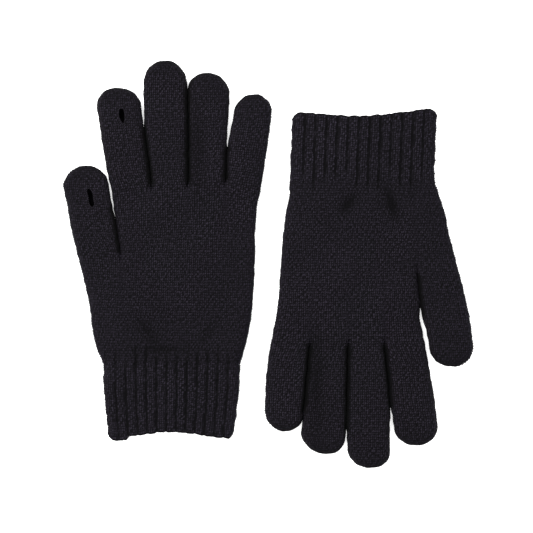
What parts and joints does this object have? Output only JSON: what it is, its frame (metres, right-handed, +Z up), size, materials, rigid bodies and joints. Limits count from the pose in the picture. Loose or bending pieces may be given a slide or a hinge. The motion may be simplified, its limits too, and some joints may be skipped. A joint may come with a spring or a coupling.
{
  "type": "touchscreen gloves",
  "caption": "Pair of black knitted gloves with ribbed elastic cuffs and a bound touch slit in each thumb and index fingertip.",
  "frame": {"origin": "on the surface that the pair lies on, under the middle of the pair's box", "axes": "+Z up, through the gloves from the surface; +Y from the left glove's cuff to its fingertips; +X from the left glove to the right glove"},
  "size_m": [0.2478, 0.2468, 0.01],
  "materials": {
    "knit": "soft black stockinette knit",
    "rib": "soft black rib knit",
    "binding": "matte black overcast thread",
    "elastic": "matte covered elastic thread"
  },
  "bodies": {
    "left_hand": {"left_hand": "knit"},
    "left_cuff": {"left_cuff": "rib", "left_cuff_elastic": "elastic"},
    "left_thumb_base": {"left_thumb_base": "knit"},
    "left_thumb_end": {"left_thumb_end": "knit", "left_thumb_slit_edge": "binding"},
    "left_index_base": {"left_index_base": "knit"},
    "left_index_end": {"left_index_end": "knit", "left_index_slit_edge": "binding"},
    "left_middle_base": {"left_middle_base": "knit"},
    "left_middle_end": {"left_middle_end": "knit"},
    "left_ring_base": {"left_ring_base": "knit"},
    "left_ring_end": {"left_ring_end": "knit"},
    "left_little_base": {"left_little_base": "knit"},
    "left_little_end": {"left_little_end": "knit"},
    "right_hand": {"right_hand": "knit"},
    "right_cuff": {"right_cuff": "rib", "right_cuff_elastic": "elastic"},
    "right_thumb_base": {"right_thumb_base": "knit"},
    "right_thumb_end": {"right_thumb_end": "knit", "right_thumb_slit_edge": "binding"},
    "right_index_base": {"right_index_base": "knit"},
    "right_index_end": {"right_index_end": "knit", "right_index_slit_edge": "binding"},
    "right_middle_base": {"right_middle_base": "knit"},
    "right_middle_end": {"right_middle_end": "knit"},
    "right_ring_base": {"right_ring_base": "knit"},
    "right_ring_end": {"right_ring_end": "knit"},
    "right_little_base": {"right_little_base": "knit"},
    "right_little_end": {"right_little_end": "knit"}
  },
  "joints": [
    {"name": "left_cuff_fold", "type": "hinge", "parent": "left_hand", "child": "left_cuff", "pos_m": [-0.05865, -0.05965, 0.01], "axis": [-1, 0, 0], "range_deg": [0, 90]},
    {"name": "left_thumb_fold", "type": "hinge", "parent": "left_hand", "child": "left_thumb_base", "pos_m": [-0.10434, 0.01343, 0.01], "axis": [0.9829, 0.1843, 0], "range_deg": [0, 80]},
    {"name": "left_thumb_bend", "type": "hinge", "parent": "left_thumb_base", "child": "left_thumb_end", "pos_m": [-0.1071, 0.02818, 0.01], "axis": [0.9829, 0.1843, 0], "range_deg": [0, 80]},
    {"name": "left_index_fold", "type": "hinge", "parent": "left_hand", "child": "left_index_base", "pos_m": [-0.08415, 0.05535, 0.01], "axis": [1, 0, 0], "range_deg": [0, 85]},
    {"name": "left_index_bend", "type": "hinge", "parent": "left_index_base", "child": "left_index_end", "pos_m": [-0.08415, 0.07935, 0.01], "axis": [1, 0, 0], "range_deg": [0, 85]},
    {"name": "left_middle_fold", "type": "hinge", "parent": "left_hand", "child": "left_middle_base", "pos_m": [-0.06035, 0.05535, 0.01], "axis": [1, 0, 0], "range_deg": [0, 85]},
    {"name": "left_middle_bend", "type": "hinge", "parent": "left_middle_base", "child": "left_middle_end", "pos_m": [-0.06035, 0.07935, 0.01], "axis": [1, 0, 0], "range_deg": [0, 85]},
    {"name": "left_ring_fold", "type": "hinge", "parent": "left_hand", "child": "left_ring_base", "pos_m": [-0.03765, 0.05535, 0.01], "axis": [1, 0, 0], "range_deg": [0, 85]},
    {"name": "left_ring_bend", "type": "hinge", "parent": "left_ring_base", "child": "left_ring_end", "pos_m": [-0.03765, 0.07935, 0.01], "axis": [1, 0, 0], "range_deg": [0, 85]},
    {"name": "left_little_fold", "type": "hinge", "parent": "left_hand", "child": "left_little_base", "pos_m": [-0.01515, 0.05535, 0.01], "axis": [1, 0, 0], "range_deg": [0, 85]},
    {"name": "left_little_bend", "type": "hinge", "parent": "left_little_base", "child": "left_little_end", "pos_m": [-0.01515, 0.07935, 0.01], "axis": [1, 0, 0], "range_deg": [0, 85]},
    {"name": "right_cuff_fold", "type": "hinge", "parent": "right_hand", "child": "right_cuff", "pos_m": [0.05655, 0.05085, 0.01], "axis": [1, 0, 0], "range_deg": [0, 90]},
    {"name": "right_thumb_fold", "type": "hinge", "parent": "right_hand", "child": "right_thumb_base", "pos_m": [0.10398, -0.01138, 0.01], "axis": [-0.9831, -0.183, 0], "range_deg": [0, 80]},
    {"name": "right_thumb_bend", "type": "hinge", "parent": "right_thumb_base", "child": "right_thumb_end", "pos_m": [0.10727, -0.02908, 0.01], "axis": [-0.9831, -0.183, 0], "range_deg": [0, 80]},
    {"name": "right_index_fold", "type": "hinge", "parent": "right_hand", "child": "right_index_base", "pos_m": [0.08355, -0.05445, 0.01], "axis": [-1, 0, 0], "range_deg": [0, 85]},
    {"name": "right_index_bend", "type": "hinge", "parent": "right_index_base", "child": "right_index_end", "pos_m": [0.08355, -0.07815, 0.01], "axis": [-1, 0, 0], "range_deg": [0, 85]},
    {"name": "right_middle_fold", "type": "hinge", "parent": "right_hand", "child": "right_middle_base", "pos_m": [0.05955, -0.05445, 0.01], "axis": [-1, 0, 0], "range_deg": [0, 85]},
    {"name": "right_middle_bend", "type": "hinge", "parent": "right_middle_base", "child": "right_middle_end", "pos_m": [0.05955, -0.07815, 0.01], "axis": [-1, 0, 0], "range_deg": [0, 85]},
    {"name": "right_ring_fold", "type": "hinge", "parent": "right_hand", "child": "right_ring_base", "pos_m": [0.03605, -0.05445, 0.01], "axis": [-1, 0, 0], "range_deg": [0, 85]},
    {"name": "right_ring_bend", "type": "hinge", "parent": "right_ring_base", "child": "right_ring_end", "pos_m": [0.03605, -0.07815, 0.01], "axis": [-1, 0, 0], "range_deg": [0, 85]},
    {"name": "right_little_fold", "type": "hinge", "parent": "right_hand", "child": "right_little_base", "pos_m": [0.01255, -0.05445, 0.01], "axis": [-1, 0, 0], "range_deg": [0, 85]},
    {"name": "right_little_bend", "type": "hinge", "parent": "right_little_base", "child": "right_little_end", "pos_m": [0.01255, -0.07815, 0.01], "axis": [-1, 0, 0], "range_deg": [0, 85]},
    {"name": "right_glove_lift", "type": "slide", "parent": "left_hand", "child": "right_hand", "axis": [0, 0, 1], "range_m": [0, 0.15]}
  ],
  "couplings": [
    {"joint": "left_thumb_bend", "follows": "left_thumb_fold", "ratio": 1},
    {"joint": "left_index_bend", "follows": "left_index_fold", "ratio": 1},
    {"joint": "left_middle_bend", "follows": "left_middle_fold", "ratio": 1},
    {"joint": "left_ring_bend", "follows": "left_ring_fold", "ratio": 1},
    {"joint": "left_little_bend", "follows": "left_little_fold", "ratio": 1},
    {"joint": "right_thumb_bend", "follows": "right_thumb_fold", "ratio": 1},
    {"joint": "right_index_bend", "follows": "right_index_fold", "ratio": 1},
    {"joint": "right_middle_bend", "follows": "right_middle_fold", "ratio": 1},
    {"joint": "right_ring_bend", "follows": "right_ring_fold", "ratio": 1},
    {"joint": "right_little_bend", "follows": "right_little_fold", "ratio": 1}
  ]
}
